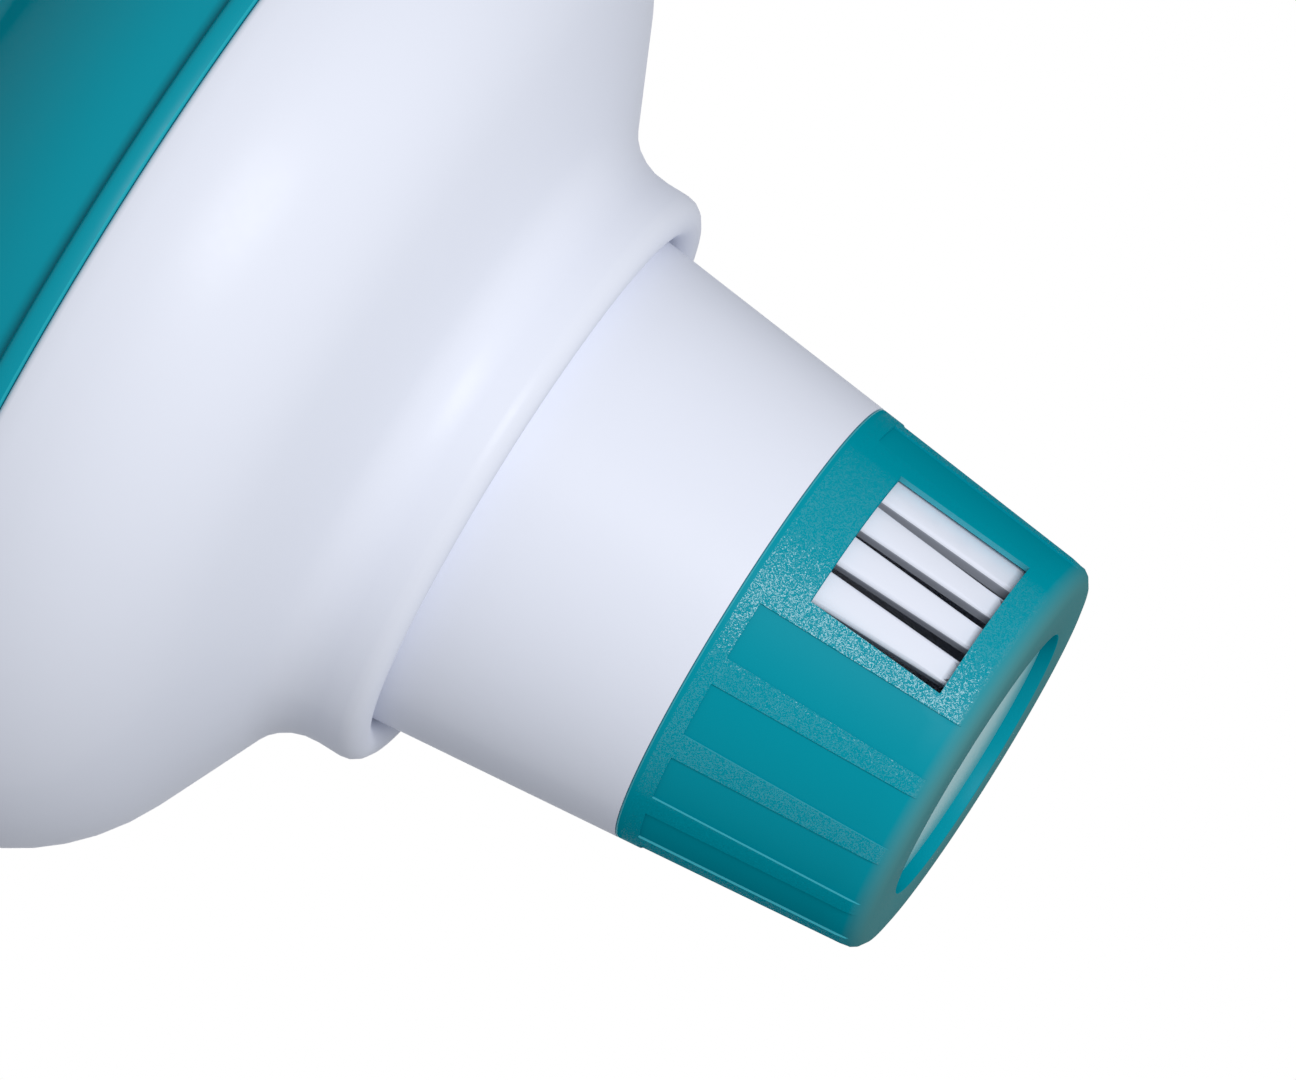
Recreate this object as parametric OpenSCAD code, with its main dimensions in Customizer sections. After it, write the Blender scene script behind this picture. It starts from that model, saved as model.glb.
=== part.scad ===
// Floating chlorine dispenser: a hollow float with a hanging tablet canister
// and a flow ring that turns to open or close the canister's vents.
// Z = 0 is the flow ring's end face, +Z points up to the dome.

/* [Float] */
// Largest diameter of the float
float_d = 127; // [120:0.5:160]
// Wall of both float shells
float_wall = 1.6; // [1.2:0.1:2.2]
// Radius of the white shell's round belly
belly_r = 24.6; // [18:0.2:27]
// Straight band between the belly and the parting line
rim_band_h = 3; // [2:0.5:10]
// Rounding of the white shell's upper edge
rim_round = 0.8; // [0.3:0.1:1.2]
// Height from the collar's fillet to the top of the belly
belly_rise = 34.2; // [32:0.2:44]

/* [Dome] */
// Height of the flange that sits on the white rim
flange_h = 2.4; // [2:0.1:5]
// Rounding of the flange's outer edges
flange_round = 0.7; // [0.3:0.1:0.9]
// Width of the groove between the flange and the dome
groove_w = 0.7; // [0.4:0.1:1.2]
// Depth of that groove
groove_depth = 0.7; // [0.3:0.1:1.2]
// Flat land of the flange outside the groove
flange_land = 1.1; // [0.8:0.1:3]
// Rise of the dome above its flange
dome_rise = 31.6; // [20:0.2:50]
// Radius of the raised panel in the middle of the dome
panel_r = 44.5; // [20:0.5:54]
// Height of that raised panel
panel_step = 0.5; // [0.3:0.1:1]
// Length of the spigot that plugs into the white rim
spigot_h = 5; // [3:0.5:8]

/* [Collar and socket] */
// Outer diameter of the collar round the tube
collar_d = 67.7; // [64:0.1:76]
// Straight height of the collar above its round lip
collar_h = 2.6; // [2:0.2:12]
// Radius of the fillet between the collar and the belly
neck_fillet = 7.15; // [5:0.05:9]
// Depth of the blind socket above the collar's lip
socket_depth = 17.4; // [14:0.2:28]
// Inner and outer rounding of the socket's blind end
socket_round = 2; // [1:0.1:4]
// Height of the bayonet ledge in the socket
ledge_h = 2.5; // [1.5:0.1:4]
// Number of bayonet lugs and of notches in the ledge
lug_count = 3; // [2:1:4]
// Angle that one lug spans
lug_angle = 24; // [12:1:34]
// Height of one lug
lug_h = 2.5; // [1.5:0.1:4]
// Extra angle of a notch on each side of its lug
notch_slack = 3; // [1:0.5:6]

/* [Canister] */
// Height of the collar's lip centre above the ring's end face
lip_z = 56.3; // [48:0.1:90]
// Outer radius of the cone at the ring's end face
cone_r = 22.9; // [21:0.02:24]
// Growth of the cone's radius per millimetre of height
cone_slope = 0.106; // [0.08:0.002:0.11]
// Wall of the canister
canister_wall = 1.6; // [1.2:0.1:1.8]
// Thickness of the canister's floor
floor_t = 1.7; // [1.5:0.1:1.8]
// Step from the tube in to the neck that enters the socket
neck_step = 1; // [0.8:0.1:1.6]
// Space between the canister's rim and the socket's blind end
rim_space = 1.5; // [0.5:0.1:4]
// Rounding of the canister's lower corner
base_round = 2.3; // [1.7:0.1:2.6]

/* [Vents] */
// Slots in each of the two groups
slot_count = 4; // [3:1:5]
// Angle between neighbouring slots
slot_pitch = 12; // [10.5:0.1:12.5]
// Width of a slat at the lower end of the slots
slat_low_w = 2.9; // [2.4:0.1:3.2]
// Width of a slat at the upper end of the slots
slat_high_w = 4; // [3.2:0.1:4.2]
// Radius of the crowned slat faces
slat_crown_r = 4.5; // [3:0.1:6]
// Depth of the slat faces below the canister's seat
slat_inset = 0.1; // [0.05:0.05:0.3]
// Turn of the slots from the middle of the windows, as the ring is set
slot_turn = -4.5; // [-6:0.5:6]
// Reach of the slots beyond the window, above and below
slot_reach = 0.5; // [0.4:0.1:0.6]

/* [Flow ring] */
// Height of the flow ring
ring_h = 27.45; // [26:0.05:34]
// Wall of the flow ring
ring_wall = 0.85; // [0.75:0.05:1.2]
// Rounding of the ring's lower outer edge
ring_round = 2.6; // [2:0.1:3]
// Radius of the round recess in the ring's closed end
end_r = 15.4; // [10:0.1:16]
// Depth of the recess
end_depth = 1.5; // [1:0.1:1.6]
// Wall of the ring's closed end
end_t = 0.9; // [0.8:0.05:1]
// Rounding of the recess's edge
end_round = 0.4; // [0.2:0.05:0.45]
// Width of a window
window_w = 18.85; // [12:0.05:19.5]
// Height of a window
window_h = 15.95; // [10:0.05:17]
// Height of a window's lower edge above the end face
window_z = 4.95; // [4.6:0.05:6]
// Recessed grip panels on each side, between the windows
grip_count = 6; // [3:1:6]
// Angle between neighbouring grip panels
grip_pitch = 21.6; // [21:0.1:22.4]
// Width of a grip panel
grip_w = 6.5; // [4:0.1:6.6]
// Depth of a grip panel
grip_depth = 0.25; // [0.15:0.05:0.35]
// Lower edge of the grip panels
grip_z = 1.25; // [1.1:0.05:3]
// Plain band above the grip panels
grip_margin = 2.45; // [1:0.05:3]
// Height of the snap bead inside the ring's upper edge
bead_h = 0.9; // [0.6:0.1:1.2]
// Reach of the snap bead inward from the ring's wall
bead_reach = 0.6; // [0.45:0.05:0.7]
// Turn of the ring between its two stops
ring_turn = 60; // [48:1:80]
// Width of a stop rib
stop_w = 2; // [1.5:0.1:4]
// Length of a stop rib along the radius
stop_l = 1.6; // [1:0.1:1.8]

/* [Fits] */
// Clearance between pieces that turn or slide on each other
fit_gap = 0.3; // [0.25:0.05:0.4]
// Play of the flow ring along the axis
axial_gap = 0.15; // [0.1:0.05:0.3]
// Clearance between the spigot and the white rim
weld_gap = 0.1; // [0.05:0.05:0.3]

/* [Hidden] */

fine_fn = 44;
small_fn = 24;
arc_tolerance = 0.05;
overshoot = 1;

// Radii and heights of the cone, the tube and its neck.
function cone_at(z) = cone_r + cone_slope * z;
function seat_at(z) = cone_at(z) - ring_wall - fit_gap;
shoulder_z = lip_z + fit_gap * 2;
shoulder_r = cone_at(shoulder_z);
neck_r = shoulder_r - neck_step;
bore_r = neck_r - canister_wall;
socket_r = shoulder_r + fit_gap;
socket_top_z = lip_z + socket_depth;
canister_top_z = socket_top_z - rim_space;
end_top_z = end_depth + end_t;
canister_z = end_top_z + axial_gap;
step_z = ring_h + axial_gap;

// White shell.
float_r = float_d / 2;
collar_r = collar_d / 2;
lip_r = (collar_r - socket_r) / 2;
lip_centre_r = (collar_r + socket_r) / 2;
channel_r = lip_r - float_wall;
collar_top_z = lip_z + collar_h;
belly_z = collar_top_z + belly_rise;
rim_z = belly_z + rim_band_h;
neck_centre = [collar_r + neck_fillet, collar_top_z];
belly_centre = [float_r - belly_r, belly_z];
centre_gap = belly_centre - neck_centre;
belly_angle = asin((neck_fillet + belly_r) / norm(centre_gap)) + atan2(centre_gap[0], centre_gap[1]);
ledge_z = shoulder_z + fit_gap;
ledge_r = neck_r + fit_gap;
lug_z = ledge_z + ledge_h + fit_gap;
lug_r = socket_r - fit_gap;

// Dome.
flange_z = rim_z + flange_h;
dome_r = float_r - flange_land - groove_w;
spigot_r = float_r - float_wall - weld_gap;

// Vents and windows.
window_top_z = window_z + window_h;
slot_z = window_z - slot_reach;
slot_top_z = window_top_z + slot_reach;
slot_span = (slot_count - 1) * slot_pitch;
slat_lean = atan(cone_slope);

// Ring's inner features.
bead_z = ring_h - bead_h;
bead_r = cone_at(ring_h) - ring_wall - bead_reach;
groove_floor_r = bead_r - fit_gap;
stop_r = (end_r + seat_at(canister_z) - base_round) / 2 + stop_l / 2;
stop_rise = floor_t / 2;
stop_slack = atan(fit_gap / stop_r) + atan(stop_w / 2 / (stop_r - stop_l));

// Segments that keep an arc of radius r, from angle a to b, within the tolerance.
function segments(r, a, b) = max(2, ceil(abs(b - a) / (2 * acos(1 - arc_tolerance / r))));

// Points on an arc round c, from angle a to angle b.
function arc(c, r, a, b) =
    let (n = segments(r, a, b))
    [for (i = [0:n]) c + r * [cos(a + (b - a) * i / n), sin(a + (b - a) * i / n)]];

// Points on the dome's ellipse, from the polar angle a to exactly b, grown outward by extra.
function dome_arc(a, b, extra) =
    let (n = segments(dome_r, a, b))
    [for (i = [0:n]) let (t = i < n ? a + (b - a) * i / n : b)
        [(dome_r + extra) * cos(t), flange_z + (dome_rise + extra) * sin(t)]];

// A wedge of space round +X, for cutting sectors out of rings.
module wedge(angle, r, z, h) {
    far = r / cos(angle / 2);
    translate([0, 0, z])
        linear_extrude(h)
            polygon([[0, 0], far * [cos(angle / 2), -sin(angle / 2)],
                far * [cos(angle / 2), sin(angle / 2)]]);
}

// A plain ring between two radii.
module band(r_in, r_out, z, h) {
    translate([r_in, z])
        square([r_out - r_in, h]);
}

// Teal dome with its flange, groove, raised panel and spigot.
module top_shell() {
    panel_angle = acos(panel_r / dome_r);
    panel_ramp = 1;
    inner_r = spigot_r - float_wall;
    land_r = float_r - flange_land;
    color("darkcyan")
        rotate_extrude($fn = fine_fn)
            polygon(concat(
                [[spigot_r, rim_z - spigot_h], [spigot_r, rim_z]],
                arc([float_r - flange_round, rim_z + flange_round], flange_round, -90, 0),
                arc([float_r - flange_round, flange_z - flange_round], flange_round, 0, 90),
                [[land_r, flange_z], [land_r, flange_z - groove_depth],
                    [dome_r, flange_z - groove_depth]],
                dome_arc(0, panel_angle, 0),
                dome_arc(panel_angle + panel_ramp, 90, panel_step),
                [for (p = dome_arc(90, 0, -float_wall)) [min(p[0], inner_r), p[1]]],
                [[inner_r, rim_z - spigot_h]]));
}

// The bayonet ledge inside the socket, with a notch for each lug.
module bayonet_ledge() {
    difference() {
        rotate_extrude($fn = fine_fn)
            band(ledge_r, socket_r + float_wall / 2, ledge_z, ledge_h);
        for (i = [0:lug_count - 1])
            rotate([0, 0, i * 360 / lug_count])
                wedge(lug_angle + notch_slack * 2, collar_r, ledge_z - overshoot,
                    ledge_h + overshoot * 2);
    }
}

// White shell: belly, collar with a round lip, and the blind socket.
module float_shell() {
    end_z = socket_top_z + float_wall;
    corner_r = socket_r + float_wall - socket_round;
    color("white")
        union() {
            rotate_extrude($fn = fine_fn)
                polygon(concat(
                    [[0, end_z]],
                    arc([corner_r, end_z - socket_round], socket_round, 90, 0),
                    arc([lip_centre_r, lip_z], channel_r, 180, 360),
                    arc(neck_centre, neck_fillet + float_wall, 180, 180 - belly_angle),
                    arc(belly_centre, belly_r - float_wall, -belly_angle, 0),
                    [[float_r - float_wall, rim_z]],
                    arc([float_r - rim_round, rim_z - rim_round], rim_round, 90, 0),
                    arc(belly_centre, belly_r, 0, -belly_angle),
                    arc(neck_centre, neck_fillet, 180 - belly_angle, 180),
                    arc([lip_centre_r, lip_z], lip_r, 0, -180),
                    [[socket_r, socket_top_z], [0, socket_top_z]]));
            bayonet_ledge();
        }
}

// One slat with a crowned face, leaning with the canister's wall and wider above.
module slat() {
    foot_z = slot_z - overshoot;
    length = slot_top_z - slot_z + overshoot * 2;
    intersection() {
        translate([seat_at(foot_z) - slat_inset - slat_crown_r, 0, foot_z])
            rotate([0, slat_lean, 0])
                cylinder(h = length / cos(slat_lean), r = slat_crown_r, $fn = small_fn);
        translate([seat_at(0) / 2, 0, foot_z])
            rotate([90, 0, 90])
                linear_extrude(collar_r)
                    polygon([[-slat_low_w / 2, 0], [slat_low_w / 2, 0],
                        [slat_high_w / 2, length], [-slat_high_w / 2, length]]);
    }
}

// The space of one group of slots: a sector with the slats left standing.
module slot_group() {
    intersection() {
        wedge(slot_span + slot_pitch, collar_r, slot_z, slot_top_z - slot_z);
        difference() {
            cylinder(h = ring_h, r = collar_r, $fn = fine_fn);
            cylinder(h = ring_h, r = seat_at(0) / 2, $fn = fine_fn);
            for (i = [0:slot_count])
                rotate([0, 0, (i - slot_count / 2) * slot_pitch])
                    slat();
        }
    }
}

// The arc pocket under the floor in which a stop rib of the ring runs.
module stop_pocket() {
    rotate([0, 0, ring_turn / 2])
        intersection() {
            wedge(ring_turn + stop_slack * 2, stop_r * 2, 0, canister_z + stop_rise);
            rotate_extrude($fn = fine_fn)
                band(stop_r - stop_l - fit_gap, stop_r + fit_gap, 0, canister_z + stop_rise);
        }
}

// White canister: tapered tube, slatted seat for the ring, neck and bayonet lugs.
module canister() {
    floor_z = canister_z + floor_t;
    base_r = seat_at(canister_z);
    inner_step_z = step_z + canister_wall;
    color("white")
        difference() {
            union() {
                rotate_extrude($fn = fine_fn)
                    difference() {
                        polygon(concat(
                            [[0, floor_z], [seat_at(floor_z) - canister_wall, floor_z],
                                [seat_at(step_z) - canister_wall, step_z],
                                [cone_at(inner_step_z) - canister_wall, inner_step_z],
                                [bore_r, shoulder_z], [bore_r, canister_top_z],
                                [neck_r, canister_top_z], [neck_r, shoulder_z],
                                [shoulder_r, shoulder_z], [cone_at(step_z), step_z],
                                [seat_at(step_z), step_z]],
                            arc([base_r - base_round, canister_z + base_round], base_round, 0, -90),
                            [[0, canister_z]]));
                        band(groove_floor_r, float_r, bead_z - fit_gap, step_z - bead_z + fit_gap);
                    }
                for (i = [0:lug_count - 1])
                    rotate([0, 0, i * 360 / lug_count])
                        intersection() {
                            wedge(lug_angle, collar_r, lug_z, lug_h);
                            rotate_extrude($fn = fine_fn)
                                band(neck_r - canister_wall / 2, lug_r, lug_z, lug_h);
                        }
            }
            for (side = [90, 270])
                rotate([0, 0, side]) {
                    rotate([0, 0, slot_turn])
                        slot_group();
                    stop_pocket();
                }
        }
}

// Teal flow ring: a cone with a closed, recessed end, two windows, grip panels, snap bead and stops.
module flow_ring() {
    inner_round = ring_round - ring_wall;
    wall_foot_r = cone_at(ring_round);
    color("darkcyan")
        difference() {
            union() {
                rotate_extrude($fn = fine_fn)
                    polygon(concat(
                        arc([wall_foot_r - ring_round, ring_round], ring_round, -90, 0),
                        [[cone_at(ring_h), ring_h], [bead_r, ring_h], [bead_r, bead_z],
                            [cone_at(bead_z) - ring_wall, bead_z]],
                        arc([wall_foot_r - ring_round, ring_round - ring_wall + end_t],
                            inner_round, 0, -90),
                        [[end_r + end_t, end_t], [end_r + end_t, end_top_z], [0, end_top_z],
                            [0, end_depth], [end_r, end_depth]],
                        arc([end_r + end_round, end_round], end_round, 180, 270)));
                for (side = [90, 270])
                    rotate([0, 0, side])
                        translate([stop_r - stop_l, -stop_w / 2, end_t / 2])
                            cube([stop_l, stop_w, end_top_z - end_t / 2 + stop_rise]);
            }
            for (side = [90, 270])
                rotate([0, 0, side])
                    translate([cone_r / 2, -window_w / 2, window_z])
                        cube([float_r, window_w, window_h]);
            difference() {
                for (side = [0, 180], i = [0:grip_count - 1])
                    rotate([0, 0, side + (i - (grip_count - 1) / 2) * grip_pitch])
                        translate([cone_r / 2, -grip_w / 2, grip_z])
                            cube([float_r, grip_w, ring_h - grip_margin - grip_z]);
                cylinder(h = ring_h, r1 = cone_at(0) - grip_depth, r2 = cone_at(ring_h) - grip_depth,
                    $fn = fine_fn);
            }
        }
}

top_shell();
float_shell();
canister();
flow_ring();
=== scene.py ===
# %% [markdown]
# # A floating chlorine dispenser
#
# The dispenser is four plastic mouldings: a teal dome and a white bowl that make the float, a white
# tapered canister for the tablets, and a teal ring that turns over the canister's vents. Their solids
# come from the frame, so this lesson is about what makes moulded plastic look real: smooth shading
# with softened edges, gloss, a spark-eroded grain, and light that is kind to white plastic.

# %% Load the frame
import math

import bmesh
import bpy
from mathutils import Matrix, Vector


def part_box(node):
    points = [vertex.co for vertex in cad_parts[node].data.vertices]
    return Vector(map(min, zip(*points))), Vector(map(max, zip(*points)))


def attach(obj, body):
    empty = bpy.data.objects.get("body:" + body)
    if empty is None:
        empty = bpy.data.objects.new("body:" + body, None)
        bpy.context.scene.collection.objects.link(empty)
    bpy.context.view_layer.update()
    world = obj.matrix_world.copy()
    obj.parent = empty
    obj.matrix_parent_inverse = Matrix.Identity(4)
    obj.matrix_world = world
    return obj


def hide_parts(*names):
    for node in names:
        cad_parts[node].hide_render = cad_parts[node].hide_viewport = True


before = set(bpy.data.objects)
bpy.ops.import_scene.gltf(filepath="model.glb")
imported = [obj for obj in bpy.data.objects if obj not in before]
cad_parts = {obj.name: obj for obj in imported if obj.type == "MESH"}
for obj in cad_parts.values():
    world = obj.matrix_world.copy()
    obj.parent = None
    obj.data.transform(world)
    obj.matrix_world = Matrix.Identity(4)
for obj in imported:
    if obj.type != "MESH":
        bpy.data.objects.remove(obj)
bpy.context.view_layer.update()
print("solids:", sorted(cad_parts))

# %% [markdown]
# Sizes are read from the frame once and named here. The ring, the canister and the float share one
# vertical axis through the origin, so a height and a radius say where anything is.

# %% Sizes from the frame
MM = 0.001
ring_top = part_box("flow_ring")[1].z
rim_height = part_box("float_shell")[1].z
dome_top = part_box("top_shell")[1].z
float_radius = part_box("float_shell")[1].x
print("ring top, rim, dome top, float radius:", ring_top, rim_height, dome_top, float_radius)

# %% [markdown]
# ## Camera
#
# The picture is taken with a long lens from the side and a little below, with the camera rolled so
# that the dispenser's axis runs from the upper left to the lower right. Three directions of the object
# are known in the camera's own axes: along the axis to the ring, to the right across it, and towards
# the camera. Writing the same three in the object's axes gives the camera's rotation.

# %% Place the camera
AXIS_ROLL = math.radians(31.9)
AXIS_TILT = math.radians(6.65)
WINDOW_TURN = math.radians(-123.75)
LENS = 444.4
SENSOR = 36.0
AIM_HEIGHT = 54.25 * MM
AIM_IN_CAMERA = Vector((-12.0, -5.5, 1643.0)) * MM


def camera_turn():
    """The camera's right, down and forward directions, written in the object's axes."""
    down_axis = Vector((0, 0, -1))
    to_camera = Vector((math.cos(WINDOW_TURN), math.sin(WINDOW_TURN), 0))
    across = Vector((-math.sin(WINDOW_TURN), math.cos(WINDOW_TURN), 0))
    object_axes = Matrix((down_axis, across, to_camera)).transposed()
    tilt, roll = AXIS_TILT, AXIS_ROLL
    seen_axis = Vector((math.cos(tilt) * math.cos(roll), math.cos(tilt) * math.sin(roll), -math.sin(tilt)))
    seen_across = Vector((math.sin(roll), -math.cos(roll), 0))
    seen_axes = Matrix((seen_axis, seen_across, seen_axis.cross(seen_across))).transposed()
    return object_axes @ seen_axes.transposed()


turn = camera_turn()
right, down, forward = turn.col[0], turn.col[1], turn.col[2]
eye = Vector((0, 0, AIM_HEIGHT)) - turn @ AIM_IN_CAMERA
lens = bpy.data.cameras.new("camera")
lens.lens = LENS
lens.sensor_width = SENSOR
lens.clip_end = 20
camera = bpy.data.objects.new("camera", lens)
bpy.context.scene.collection.objects.link(camera)
camera.matrix_world = Matrix.Translation(eye) @ Matrix((right, -down, -forward)).transposed().to_4x4()
bpy.context.scene.camera = camera
print("camera at", [round(v, 3) for v in eye])

# %% [markdown]
# ## Light
#
# The studio is a white tent: light comes from everywhere, with soft boxes that give the plastic its
# long pale reflections. The world is the tent. It looks pure white to the camera, in mirrors and
# through clear things, and lights the object at a plain level. The soft boxes are area lamps, each
# placed by its direction from the object's middle: a large key beside the camera, and a small one that
# puts a glint on round edges.

# %% World and lamps
TENT_LEVEL = 0.39
TENT_COLOUR = (0.95, 0.97, 1.0)
LAMP_DISTANCE = 0.9
KEY_WAY = -forward * 0.932 + right * 0.36 - down * 0.04
KEY_SIZE, KEY_POWER = 0.4, 4.8
GLINT_WAY = -forward * 0.84 + right * 0.54
GLINT_SIZE, GLINT_POWER = 0.04, 0.35


def make_world():
    """A white tent: its light is dimmer than its look, so pale plastic isn't washed out."""
    world = bpy.data.worlds.new("tent")
    bpy.context.scene.world = world
    world.use_nodes = True
    nodes, links = world.node_tree.nodes, world.node_tree.links
    nodes.clear()
    seen = nodes.new("ShaderNodeBackground")
    seen.inputs["Color"].default_value = (1, 1, 1, 1)
    seen.inputs["Strength"].default_value = 1.0
    light = nodes.new("ShaderNodeBackground")
    light.inputs["Color"].default_value = (*TENT_COLOUR, 1)
    light.inputs["Strength"].default_value = TENT_LEVEL
    path = nodes.new("ShaderNodeLightPath")
    seen_rays = path.outputs["Is Camera Ray"]
    for kind in ("Is Glossy Ray", "Is Transmission Ray"):
        either = nodes.new("ShaderNodeMath")
        either.operation = "MAXIMUM"
        links.new(seen_rays, either.inputs[0])
        links.new(path.outputs[kind], either.inputs[1])
        seen_rays = either.outputs[0]
    mix = nodes.new("ShaderNodeMixShader")
    links.new(seen_rays, mix.inputs["Fac"])
    links.new(light.outputs[0], mix.inputs[1])
    links.new(seen.outputs[0], mix.inputs[2])
    out = nodes.new("ShaderNodeOutputWorld")
    links.new(mix.outputs[0], out.inputs["Surface"])
    return world


def soft_box(name, direction, size, power):
    """A square area lamp that shines at the object's middle from a direction."""
    lamp = bpy.data.lights.new(name, "AREA")
    lamp.shape = "SQUARE"
    lamp.size = size
    lamp.energy = power
    box = bpy.data.objects.new(name, lamp)
    bpy.context.scene.collection.objects.link(box)
    towards = direction.normalized()
    middle = Vector((0, 0, rim_height / 2))
    facing = towards.to_track_quat("Z", "Y").to_matrix().to_4x4()
    box.matrix_world = Matrix.Translation(middle + towards * LAMP_DISTANCE) @ facing
    return box


make_world()
soft_box("key_box", KEY_WAY, KEY_SIZE, KEY_POWER)
soft_box("glint_box", GLINT_WAY, GLINT_SIZE, GLINT_POWER)

# %% [markdown]
# ## Floor
#
# The dispenser stands on its ring, and the camera looks up at it from a little below that level. So the
# floor is a plain pale sheet that shows from above and keeps the shadow, and lets rays from underneath
# through. It doesn't bounce light at the object, so the ring's end face stays lit.

# %% Floor
FLOOR_GAP = 0.5 * MM
FLOOR_SIZE = 8.0
FLOOR_COLOUR = (0.86, 0.87, 0.88)


def floor_material():
    """Pale and rough from above, clear from below."""
    material = bpy.data.materials.new("floor_sheet")
    material.use_nodes = True
    nodes, links = material.node_tree.nodes, material.node_tree.links
    sheet = nodes["Principled BSDF"]
    sheet.inputs["Base Color"].default_value = (*FLOOR_COLOUR, 1)
    sheet.inputs["Roughness"].default_value = 0.8
    clear = nodes.new("ShaderNodeBsdfTransparent")
    side = nodes.new("ShaderNodeNewGeometry")
    mix = nodes.new("ShaderNodeMixShader")
    links.new(side.outputs["Backfacing"], mix.inputs["Fac"])
    links.new(sheet.outputs[0], mix.inputs[1])
    links.new(clear.outputs[0], mix.inputs[2])
    links.new(mix.outputs[0], nodes["Material Output"].inputs["Surface"])
    return material


bpy.ops.object.select_all(action="DESELECT")
bpy.ops.mesh.primitive_plane_add(size=FLOOR_SIZE, location=(0, 0, -FLOOR_GAP))
floor = bpy.context.object
floor.name = "floor"
floor.data.materials.append(floor_material())
floor.visible_diffuse = False
floor.visible_glossy = False
floor.visible_transmission = False
floor.visible_shadow = False
print("floor", FLOOR_SIZE, "m wide")

# %% [markdown]
# ## Plastics
#
# Both plastics are the same polymer with different pigment. Gloss plastic is a coloured body under a
# clear, slightly wavy skin: one Principled shader with a fine noise on its roughness, and a very weak
# bump for the waviness of a moulded surface. Its gloss fades where the surface turns away, so that the
# white tent doesn't wash out the colour along the outline.

# %% Plastic helpers
PLASTIC_IOR = 1.49
MOTTLE_SCALE = 900
NO_GLOSS = 0.001


def plastic(name, colour, specular):
    """A new material with one Principled shader, and its node tree for more."""
    material = bpy.data.materials.new(name)
    material.use_nodes = True
    shader = material.node_tree.nodes["Principled BSDF"]
    shader.inputs["Base Color"].default_value = (*colour, 1)
    shader.inputs["IOR"].default_value = PLASTIC_IOR
    shader.inputs["Specular IOR Level"].default_value = specular
    return material, material.node_tree, shader


def fading_gloss(tree, shader, level, full=0.25, gone=0.6):
    """A specular level that fades where the surface turns away, as on a slightly rough skin."""
    facing = tree.nodes.new("ShaderNodeLayerWeight")
    facing.inputs["Blend"].default_value = 0.5
    fade = tree.nodes.new("ShaderNodeMapRange")
    fade.inputs["From Min"].default_value = full
    fade.inputs["From Max"].default_value = gone
    fade.inputs["To Min"].default_value = level
    fade.inputs["To Max"].default_value = NO_GLOSS
    tree.links.new(facing.outputs["Facing"], fade.inputs["Value"])
    tree.links.new(fade.outputs["Result"], shader.inputs["Specular IOR Level"])
    return fade.outputs["Result"]


def noise(tree, scale):
    """Noise over the object's own coordinates, at a scale in waves per metre."""
    place = tree.nodes.new("ShaderNodeTexCoord")
    waves = tree.nodes.new("ShaderNodeTexNoise")
    waves.inputs["Scale"].default_value = scale
    tree.links.new(place.outputs["Object"], waves.inputs["Vector"])
    return waves.outputs["Fac"]


def stretch(tree, value, low, high):
    """A value from 0 to 1, spread between low and high."""
    spread = tree.nodes.new("ShaderNodeMapRange")
    spread.inputs["To Min"].default_value = low
    spread.inputs["To Max"].default_value = high
    tree.links.new(value, spread.inputs["Value"])
    return spread.outputs["Result"]


def bump(tree, height, distance, strength):
    """A bump of a height given in metres."""
    node = tree.nodes.new("ShaderNodeBump")
    node.inputs["Distance"].default_value = distance
    node.inputs["Strength"].default_value = strength
    tree.links.new(height, node.inputs["Height"])
    return node.outputs["Normal"]


def gloss_plastic(name, colour, smooth, rough, wave_scale, wave_height, wave_strength):
    """Gloss plastic with a mottled roughness and a weak waviness."""
    material, tree, shader = plastic(name, colour, SKIN_GLOSS)
    tree.links.new(stretch(tree, noise(tree, MOTTLE_SCALE), smooth, rough), shader.inputs["Roughness"])
    waves = bump(tree, noise(tree, wave_scale), wave_height, wave_strength)
    tree.links.new(waves, shader.inputs["Normal"])
    fading_gloss(tree, shader, SKIN_GLOSS)
    print("material:", material.name)
    return material


# %% White and teal plastic
WHITE = (0.79, 0.82, 0.92)
TEAL = (0.0, 0.285, 0.37)
SKIN_GLOSS = 0.15

white = gloss_plastic("white_plastic", WHITE, 0.26, 0.38, 180, 0.06 * MM, 0.5)
teal = gloss_plastic("teal_plastic", TEAL, 0.3, 0.42, 60, 0.03 * MM, 0.3)

# %% [markdown]
# The ring's raised faces carry a spark-eroded grain: the mould was textured, so the plastic has tiny
# facets, and each throws its own glint. The recessed grip panels were polished and stay plain, and so
# does a narrow band along the ring's top. One material does both. It reads the depth of each point under
# the ring's outer cone, and where that is nearly nothing the surface gets facets, each with a random lean
# of its own. On the flat of the foot its colour turns a greyer teal, which is painted shade and
# reflection.

# %% Node helpers for the grain
def reach_and_height(tree):
    """The distance of a point from the object's axis, and its height."""
    place = tree.nodes.new("ShaderNodeTexCoord")
    flat = tree.nodes.new("ShaderNodeVectorMath")
    flat.operation = "MULTIPLY"
    flat.inputs[1].default_value = (1, 1, 0)
    tree.links.new(place.outputs["Object"], flat.inputs[0])
    reach = tree.nodes.new("ShaderNodeVectorMath")
    reach.operation = "LENGTH"
    tree.links.new(flat.outputs["Vector"], reach.inputs[0])
    split = tree.nodes.new("ShaderNodeSeparateXYZ")
    tree.links.new(place.outputs["Object"], split.inputs["Vector"])
    return reach.outputs["Value"], split.outputs["Z"]


def fall(tree, value, low, high):
    """One where a value is under a low, nothing where it is over a high."""
    spread = tree.nodes.new("ShaderNodeMapRange")
    spread.inputs["From Min"].default_value = low
    spread.inputs["From Max"].default_value = high
    spread.inputs["To Min"].default_value = 1
    spread.inputs["To Max"].default_value = 0
    tree.links.new(value, spread.inputs["Value"])
    return spread.outputs["Result"]


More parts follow.
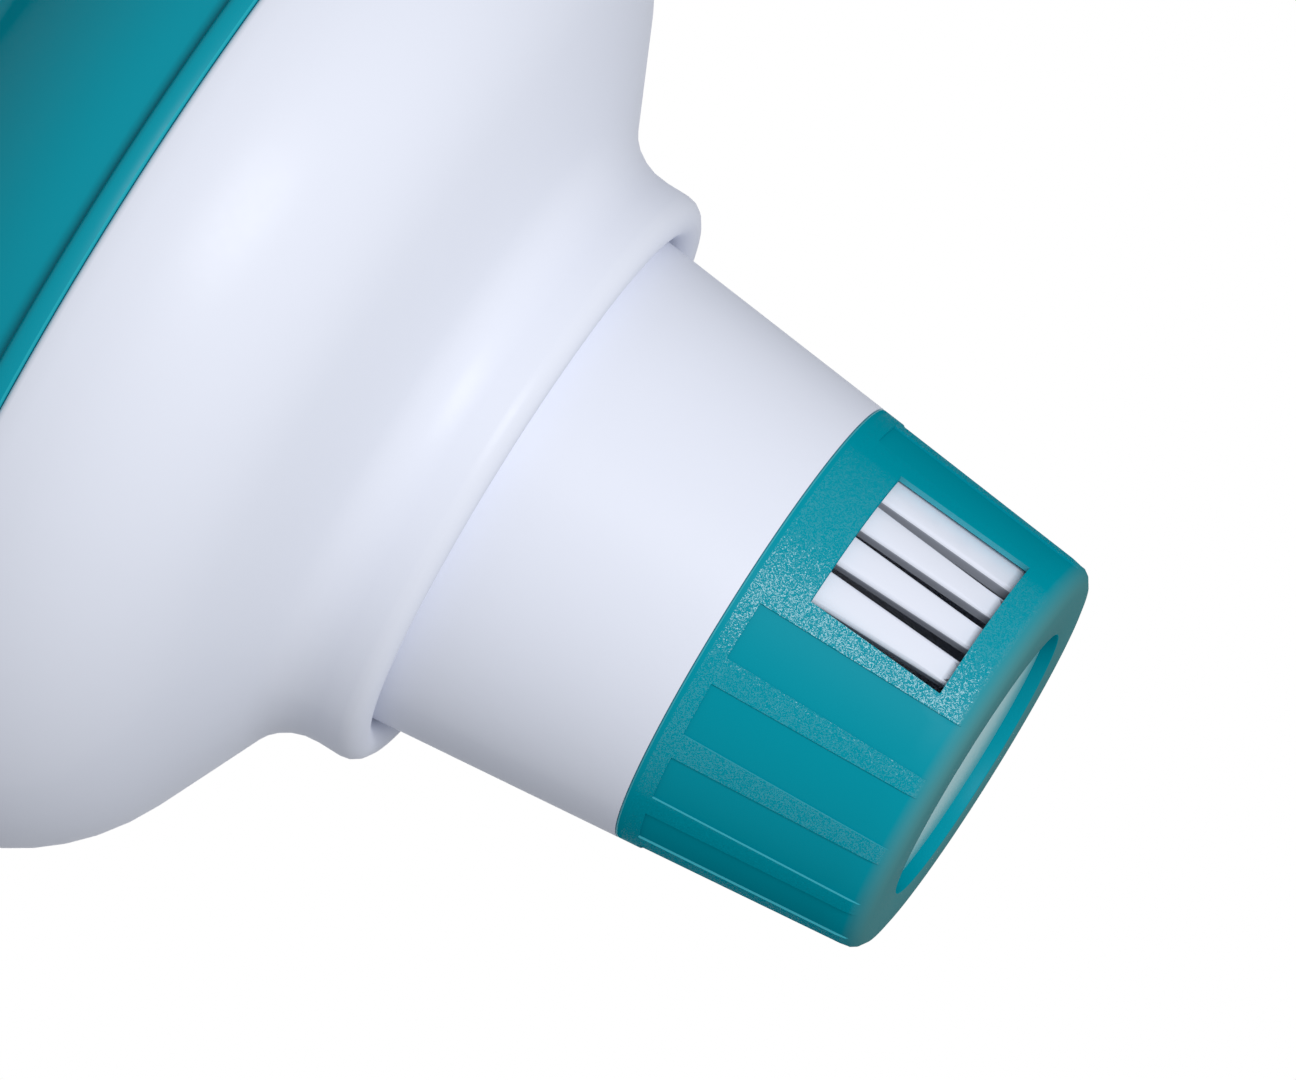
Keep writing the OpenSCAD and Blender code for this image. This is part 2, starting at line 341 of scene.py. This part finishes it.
def compare(tree, value, operation, limit):
    """One where a value is less or greater than a limit, and nothing elsewhere."""
    node = tree.nodes.new("ShaderNodeMath")
    node.operation = operation
    node.inputs[1].default_value = limit
    tree.links.new(value, node.inputs[0])
    return node.outputs["Value"]


def times(tree, first, second):
    """The product of two values."""
    product = tree.nodes.new("ShaderNodeMath")
    product.operation = "MULTIPLY"
    tree.links.new(first, product.inputs[0])
    tree.links.new(second, product.inputs[1])
    return product.outputs["Value"]


def facets(tree, size, tilt):
    """One random lean for each cell of a cell pattern, and one where the cell is a bright flake."""
    place = tree.nodes.new("ShaderNodeTexCoord")
    cells = tree.nodes.new("ShaderNodeTexVoronoi")
    cells.inputs["Scale"].default_value = 1 / size
    tree.links.new(place.outputs["Object"], cells.inputs["Vector"])
    lean = tree.nodes.new("ShaderNodeVectorMath")
    lean.operation = "MULTIPLY_ADD"
    lean.inputs[1].default_value = (tilt, tilt, tilt)
    lean.inputs[2].default_value = (-tilt / 2, -tilt / 2, -tilt / 2)
    tree.links.new(cells.outputs["Color"], lean.inputs[0])
    channels = tree.nodes.new("ShaderNodeSeparateColor")
    tree.links.new(cells.outputs["Color"], channels.inputs["Color"])
    return lean.outputs["Vector"], compare(tree, channels.outputs["Blue"], "LESS_THAN", FLAKE_SHARE)


def on_cone(tree, foot_reach, growth, depth):
    """One on a cone about the object's axis and down to a depth under it, and nothing deeper."""
    reach, height = reach_and_height(tree)
    cone = tree.nodes.new("ShaderNodeMath")
    cone.operation = "MULTIPLY_ADD"
    cone.inputs[1].default_value = growth
    cone.inputs[2].default_value = foot_reach
    tree.links.new(height, cone.inputs[0])
    under = tree.nodes.new("ShaderNodeMath")
    under.operation = "SUBTRACT"
    tree.links.new(cone.outputs["Value"], under.inputs[0])
    tree.links.new(reach, under.inputs[1])
    return fall(tree, under.outputs["Value"], depth * 0.7, depth * 1.3)


def foot_painted_shade(tree):
    """One on the flat of the foot outside the recess, fading to nothing up its round edge: where shade is
    painted.
    """
    reach, height = reach_and_height(tree)
    outside = compare(tree, reach, "GREATER_THAN", RECESS_REACH)
    return times(tree, fall(tree, height, FOOT_FADE_LOW, FOOT_FADE_HIGH), outside)


# %% Grained teal plastic
GRAIN_SIZE = 0.1 * MM
GRAIN_TILT = 0.34
FLAKE_SHARE = 0.45
GRAIN_DEPTH = 0.12 * MM
PLAIN_BAND = 0.6 * MM
GRAIN_GLOSS, PLAIN_SHARE = 0.5, 0.12
GRAIN_ROUGHNESS, PLAIN_ROUGHNESS = 0.24, 0.4
FOOT_SHADE_TEAL = (0.08, 0.27, 0.29)
RECESS_REACH = 15.6 * MM
FOOT_FADE_LOW, FOOT_FADE_HIGH = 0.2 * MM, 2.2 * MM


def grained_teal(foot_reach, growth):
    """Teal plastic, with a glittering spark grain where it lies on the ring's outer cone."""
    material, tree, shader = plastic("grained_teal", TEAL, 0.1)
    lean, flake = facets(tree, GRAIN_SIZE, GRAIN_TILT)
    mask = times(tree, flake, on_cone(tree, foot_reach, growth, GRAIN_DEPTH))
    height = reach_and_height(tree)[1]
    mask = times(tree, mask, compare(tree, height, "LESS_THAN", ring_top - PLAIN_BAND))
    tree.links.new(stretch(tree, mask, PLAIN_ROUGHNESS, GRAIN_ROUGHNESS), shader.inputs["Roughness"])
    gloss = fading_gloss(tree, shader, GRAIN_GLOSS, 0.16, 0.42)
    gloss = times(tree, gloss, stretch(tree, mask, PLAIN_SHARE, 1.0))
    tree.links.new(gloss, shader.inputs["Specular IOR Level"])
    scaled = tree.nodes.new("ShaderNodeVectorMath")
    scaled.operation = "SCALE"
    tree.links.new(lean, scaled.inputs[0])
    tree.links.new(mask, scaled.inputs["Scale"])
    surface = tree.nodes.new("ShaderNodeNewGeometry")
    turned = tree.nodes.new("ShaderNodeVectorMath")
    turned.operation = "ADD"
    tree.links.new(surface.outputs["Normal"], turned.inputs[0])
    tree.links.new(scaled.outputs["Vector"], turned.inputs[1])
    unit = tree.nodes.new("ShaderNodeVectorMath")
    unit.operation = "NORMALIZE"
    tree.links.new(turned.outputs["Vector"], unit.inputs[0])
    tree.links.new(unit.outputs["Vector"], shader.inputs["Normal"])
    # The flat of the foot is mixed to a greyer teal: painted shade and reflection.
    tint = tree.nodes.new("ShaderNodeMix")
    tint.data_type = "RGBA"
    tint.inputs["A"].default_value = (*TEAL, 1)
    tint.inputs["B"].default_value = (*FOOT_SHADE_TEAL, 1)
    tree.links.new(foot_painted_shade(tree), tint.inputs["Factor"])
    tree.links.new(tint.outputs["Result"], shader.inputs["Base Color"])
    print("material:", material.name)
    return material


# %% [markdown]
# Four more finishes are small ones. The floor of the recess in the ring's end was polished, and its paler
# colour is a painted reflection. The walls of the panels and windows are narrow and catch the light: they
# get a paler colour, a painted highlight, and so does the lower edge of the dome's flange. The walls of
# the canister's slots get a darker grey, a painted shade.

# %% Small finishes and painted light
WALL_HIGHLIGHT_TEAL = (0.06, 0.44, 0.52)
RIM_HIGHLIGHT_TEAL = (0.02, 0.38, 0.46)
RECESS_REFLECTION_TEAL = (0.17, 0.45, 0.49)
SLOT_SHADE = (0.3, 0.32, 0.375)


def plain_finish(name, colour, specular, roughness):
    """One colour with a faint change of roughness."""
    material, tree, shader = plastic(name, colour, specular)
    mottle = stretch(tree, noise(tree, MOTTLE_SCALE), roughness, roughness + 0.06)
    tree.links.new(mottle, shader.inputs["Roughness"])
    print("material:", material.name)
    return material


# Painted highlight: a paler teal for the walls that catch the light.
wall_highlight_teal = plain_finish("wall_highlight_teal", WALL_HIGHLIGHT_TEAL, 0.05, 0.4)
# Painted highlight: a paler teal for the lower edge of the dome's flange.
rim_highlight_teal = plain_finish("rim_highlight_teal", RIM_HIGHLIGHT_TEAL, 0.05, 0.4)
# Polished recess floor, whose pale colour is a painted reflection.
polished_recess_painted_reflection = plain_finish("polished_recess_painted_reflection", RECESS_REFLECTION_TEAL, 0.3, 0.3)
# Painted shade: a darker grey for the walls of the slots.
slot_painted_shade = plain_finish("slot_painted_shade", SLOT_SHADE, 0.02, 0.5)


# %% [markdown]
# ## Mouldings
#
# The frame's solids are loose triangles with flat shading, which would show as bands on the round
# plastic. Each solid is copied, the copy's triangles are joined, the shading it came with is cleared,
# and its smooth places are shaded smooth. The copy then stands for the solid and rides on the same body.

# %% Smooth copies of the solids
SMOOTH_ANGLE = math.radians(35)
JOIN_DISTANCE = 0.002 * MM
BODY_OF = {"top_shell": "float", "float_shell": "float", "canister": "canister", "flow_ring": "ring"}


def open_piece(piece, kind):
    """Opens a piece in edit mode with nothing selected, and gives its shape."""
    bpy.ops.object.select_all(action="DESELECT")
    bpy.context.view_layer.objects.active = piece
    piece.select_set(True)
    bpy.ops.object.mode_set(mode="EDIT")
    bpy.ops.mesh.select_mode(type=kind)
    bpy.ops.mesh.select_all(action="DESELECT")
    return bmesh.from_edit_mesh(piece.data)


def moulding(node, *materials):
    """A joined, smooth-shaded copy of a solid, which stands for it."""
    piece = bpy.data.objects.new(node + "_moulding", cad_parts[node].data.copy())
    bpy.context.scene.collection.objects.link(piece)
    open_piece(piece, "VERT")
    bpy.ops.mesh.select_all(action="SELECT")
    bpy.ops.mesh.remove_doubles(threshold=JOIN_DISTANCE)
    bpy.ops.object.mode_set(mode="OBJECT")
    bpy.ops.mesh.customdata_custom_splitnormals_clear()
    bpy.ops.object.shade_smooth_by_angle(angle=SMOOTH_ANGLE)
    piece.data.materials.clear()
    for material in materials:
        piece.data.materials.append(material)
    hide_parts(node)
    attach(piece, BODY_OF[node])
    print(piece.name, len(piece.data.polygons), "faces")
    return piece


bowl = moulding("float_shell", white)
canister = moulding("canister", white, slot_painted_shade)
dome = moulding("top_shell", teal, rim_highlight_teal)

# %% [markdown]
# The grained material has to know the ring's outer cone. Two of the ring's points give it: the widest
# one low on the ring, above the round edge, and the widest one at its top.

# %% The ring and its cone
FOOT_LOW, FOOT_HIGH = 3 * MM, 6 * MM
TOP_DEPTH = 0.01 * MM


def axis_distance(point):
    """The distance of a point from the object's axis."""
    return math.hypot(point.x, point.y)


ring_points = [vertex.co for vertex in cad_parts["flow_ring"].data.vertices]
foot = max((p for p in ring_points if FOOT_LOW < p.z < FOOT_HIGH), key=axis_distance)
crown = max((p for p in ring_points if p.z > ring_top - TOP_DEPTH), key=axis_distance)
cone_growth = (axis_distance(crown) - axis_distance(foot)) / (crown.z - foot.z)
cone_foot = axis_distance(foot) - cone_growth * foot.z
ring = moulding("flow_ring", grained_teal(cone_foot, cone_growth), polished_recess_painted_reflection, wall_highlight_teal)
print("cone:", round(cone_foot, 5), round(cone_growth, 4))

# %% [markdown]
# The triangles of a turned surface are long, and neighbouring circles have different numbers of points,
# so the joined shading is uneven. But on a turned surface the true normal lies in the plane through the
# axis, and has one slope for each height and radius. So the corners of its faces are gathered in strips
# that lie between the same circles, and all corners of a strip on one circle get their mean slope.

# %% Even shading round the axis
LEAN_LIMIT = math.sin(math.radians(9))
SPOT = 0.02 * MM
WHOLE_PIECE = -1.0


def round_way(point):
    """The direction round the axis at a point."""
    return Vector((-point.y, point.x, 0)) / axis_distance(point)


def even_shading(piece, above=WHOLE_PIECE):
    """Gives the corner normals of turned faces above a height the same slope all the way round."""
    mesh = piece.data
    normals = [corner.vector.copy() for corner in mesh.corner_normals]
    spots = [(round(axis_distance(v.co) / SPOT), round(v.co.z / SPOT)) for v in mesh.vertices]
    strips = {}
    for face in mesh.polygons:
        if face.center.z < above or abs(face.normal.dot(round_way(face.center))) > LEAN_LIMIT:
            continue
        strip = frozenset(spots[number] for number in face.vertices)
        for index in face.loop_indices:
            number = mesh.loops[index].vertex_index
            point = mesh.vertices[number].co
            outward = Vector((point.x, point.y, 0)).normalized()
            strips.setdefault((spots[number], strip), []).append((index, outward))
    for corners in strips.values():
        out = sum(normals[index].dot(outward) for index, outward in corners)
        up = sum(normals[index].z for index, outward in corners)
        size = math.hypot(out, up)
        for index, outward in corners:
            normals[index] = (outward * (out / size) + Vector((0, 0, up / size))).normalized()
    mesh.normals_split_custom_set(normals)
    print(piece.name, len(strips), "strips evened")


# %% [markdown]
# The ring's top face is lifted a little towards the tube's shoulder, and its outer edge is rounded.

# %% The ring's top edge
TOP_RAISE = 0.13 * MM
TOP_ROUND = 0.25 * MM
EDGE_BAND = 0.05 * MM

shape = open_piece(ring, "VERT")
for vertex in shape.verts:
    vertex.select_set(abs(vertex.co.z - ring_top) < SPOT)
shape.select_flush(True)
bmesh.update_edit_mesh(ring.data)
bpy.ops.transform.translate(value=(0, 0, TOP_RAISE))
bpy.ops.mesh.select_mode(type="EDGE")
bpy.ops.mesh.select_all(action="DESELECT")
rounded = 0
for edge in shape.edges:
    if all(abs(end.co.z - ring_top - TOP_RAISE) < SPOT
           and axis_distance(end.co) > axis_distance(crown) - EDGE_BAND for end in edge.verts):
        edge.select_set(True)
        rounded += 1
bmesh.update_edit_mesh(ring.data)
bpy.ops.mesh.bevel(offset=TOP_ROUND, segments=2, clamp_overlap=True)
bpy.ops.object.mode_set(mode="OBJECT")
even_shading(ring)
print("top edges rounded:", rounded)

# %% [markdown]
# Which finish a face gets is told by where it lies. The polished floor, with its painted reflection, is
# the flat face of the recess. A panel's or window's wall looks round the axis, and the ones with the
# painted highlight are those that look the way of the turn, and all that are deeper than a panel. The
# rounding of the top edge gets the painted highlight too.

# %% Finishes and painted light by place
FLOOR_LOW, FLOOR_HIGH = 1.2 * MM, 1.8 * MM
PANEL_DEPTH = 0.4 * MM
TOP_BAND = 0.15 * MM
POLISHED_PAINTED_REFLECTION, PAINTED_HIGHLIGHT = 1, 2
highlight_walls = 0
for face in ring.data.polygons:
    corners = [ring.data.vertices[index].co for index in face.vertices]
    lean = face.normal.dot(round_way(face.center))
    depth = max(cone_foot + cone_growth * p.z - axis_distance(p) for p in corners)
    # The recess floor: polish, and a painted reflection in its colour.
    if face.normal.z < -0.9 and FLOOR_LOW < corners[0].z < FLOOR_HIGH:
        face.material_index = POLISHED_PAINTED_REFLECTION
    # Painted highlight on walls that look the way of the turn, and on all deep walls.
    elif lean > 0.5 or (lean < -0.5 and depth > PANEL_DEPTH):
        face.material_index = PAINTED_HIGHLIGHT
        highlight_walls += 1
    # Painted highlight on the rounding of the top edge.
    elif min(p.z for p in corners) > ring_top - TOP_BAND and 0.2 < face.normal.z < 0.9:
        face.material_index = PAINTED_HIGHLIGHT
print("pale wall faces:", highlight_walls)

# %% [markdown]
# The dome's rim has a fine groove, and below it the flange's rounded edge catches the light. The groove's
# floor is lifted, so it reads as a thin line. The rounded edge is made tighter and gets a paler teal, a
# painted highlight.

# %% The dome's rim
GROOVE_IN, GROOVE_OUT = float_radius - 1.85 * MM, float_radius - 1.05 * MM
GROOVE_LIFT = 0.45 * MM
FLANGE_IN, EDGE_IN, HIGHLIGHT_IN = float_radius - 0.9 * MM, float_radius - 0.5 * MM, float_radius - 0.8 * MM
EDGE_HEIGHT, EDGE_SHARE = 0.8 * MM, 0.4

flange_heights = [v.co.z for v in dome.data.vertices if axis_distance(v.co) > FLANGE_IN]
flange_low, flange_high = min(flange_heights), max(flange_heights)
groove_points = 0
for point in dome.data.vertices:
    reach = axis_distance(point.co)
    if GROOVE_IN < reach < GROOVE_OUT and flange_low + 0.5 * MM < point.co.z < flange_high - 0.4 * MM:
        point.co.z += GROOVE_LIFT
        groove_points += 1
    elif reach > EDGE_IN and point.co.z < flange_low + EDGE_HEIGHT:
        point.co.z = flange_low + (point.co.z - flange_low) * EDGE_SHARE
highlight_edges = 0
# Painted highlight: the flange's lower rounding gets the paler teal.
for face in dome.data.polygons:
    if axis_distance(face.center) > HIGHLIGHT_IN and -0.95 < face.normal.z < -0.35:
        face.material_index = 1
        highlight_edges += 1
even_shading(dome)
even_shading(bowl)
print("groove points:", groove_points, "pale edges:", highlight_edges)

# %% [markdown]
# The canister's slats have soft edges, which show as a bright streak along each. The edges between a
# slot's wall and the slat's outer face are selected by their faces and bevelled. First the flat places
# round the vents are dissolved to single faces, because a bevel runs badly over loose triangles.

# %% Soft slat edges
SLOT_LOW, SLOT_HIGH = 4.3 * MM, 21.6 * MM
SLAT_SOFTNESS = 0.4 * MM
ABOVE_VENTS = SLOT_HIGH + 1 * MM
FLAT_ANGLE = math.radians(0.2)


def is_slot_wall(face):
    """Faces in the vents that look round the axis."""
    middle = face.calc_center_median()
    return SLOT_LOW < middle.z < SLOT_HIGH and abs(face.normal.dot(round_way(middle))) > 0.5


shape = open_piece(canister, "FACE")
for face in shape.faces:
    face.select_set(max(corner.co.z for corner in face.verts) < ABOVE_VENTS)
bmesh.update_edit_mesh(canister.data)
bpy.ops.mesh.dissolve_limited(angle_limit=FLAT_ANGLE)
bpy.ops.mesh.select_mode(type="EDGE")
bpy.ops.mesh.select_all(action="DESELECT")
shape = bmesh.from_edit_mesh(canister.data)
soft_edges = 0
for edge in shape.edges:
    if len(edge.link_faces) != 2:
        continue
    walls = [is_slot_wall(face) for face in edge.link_faces]
    if walls[0] == walls[1]:
        continue
    outer = edge.link_faces[0] if walls[1] else edge.link_faces[1]
    middle = outer.calc_center_median()
    outward = Vector((middle.x, middle.y, 0)).normalized()
    if outer.normal.dot(outward) > 0.7 and abs(outer.normal.z) < 0.5:
        edge.select_set(True)
        soft_edges += 1
bmesh.update_edit_mesh(canister.data)
bpy.ops.mesh.bevel(offset=SLAT_SOFTNESS, segments=4, clamp_overlap=False)
bpy.ops.object.mode_set(mode="OBJECT")
bpy.ops.object.shade_smooth_by_angle(angle=SMOOTH_ANGLE)
even_shading(canister, ABOVE_VENTS)
slot_walls = 0
# Painted shade: the slot walls get the darker grey.
for face in canister.data.polygons:
    if SLOT_LOW < face.center.z < SLOT_HIGH and abs(face.normal.dot(round_way(face.center))) > 0.93:
        face.material_index = 1
        slot_walls += 1
print("soft edges:", soft_edges, "slot wall faces:", slot_walls, "faces:", len(canister.data.polygons))

# %% Settings and finish
bpy.context.scene.view_settings.view_transform = "Standard"
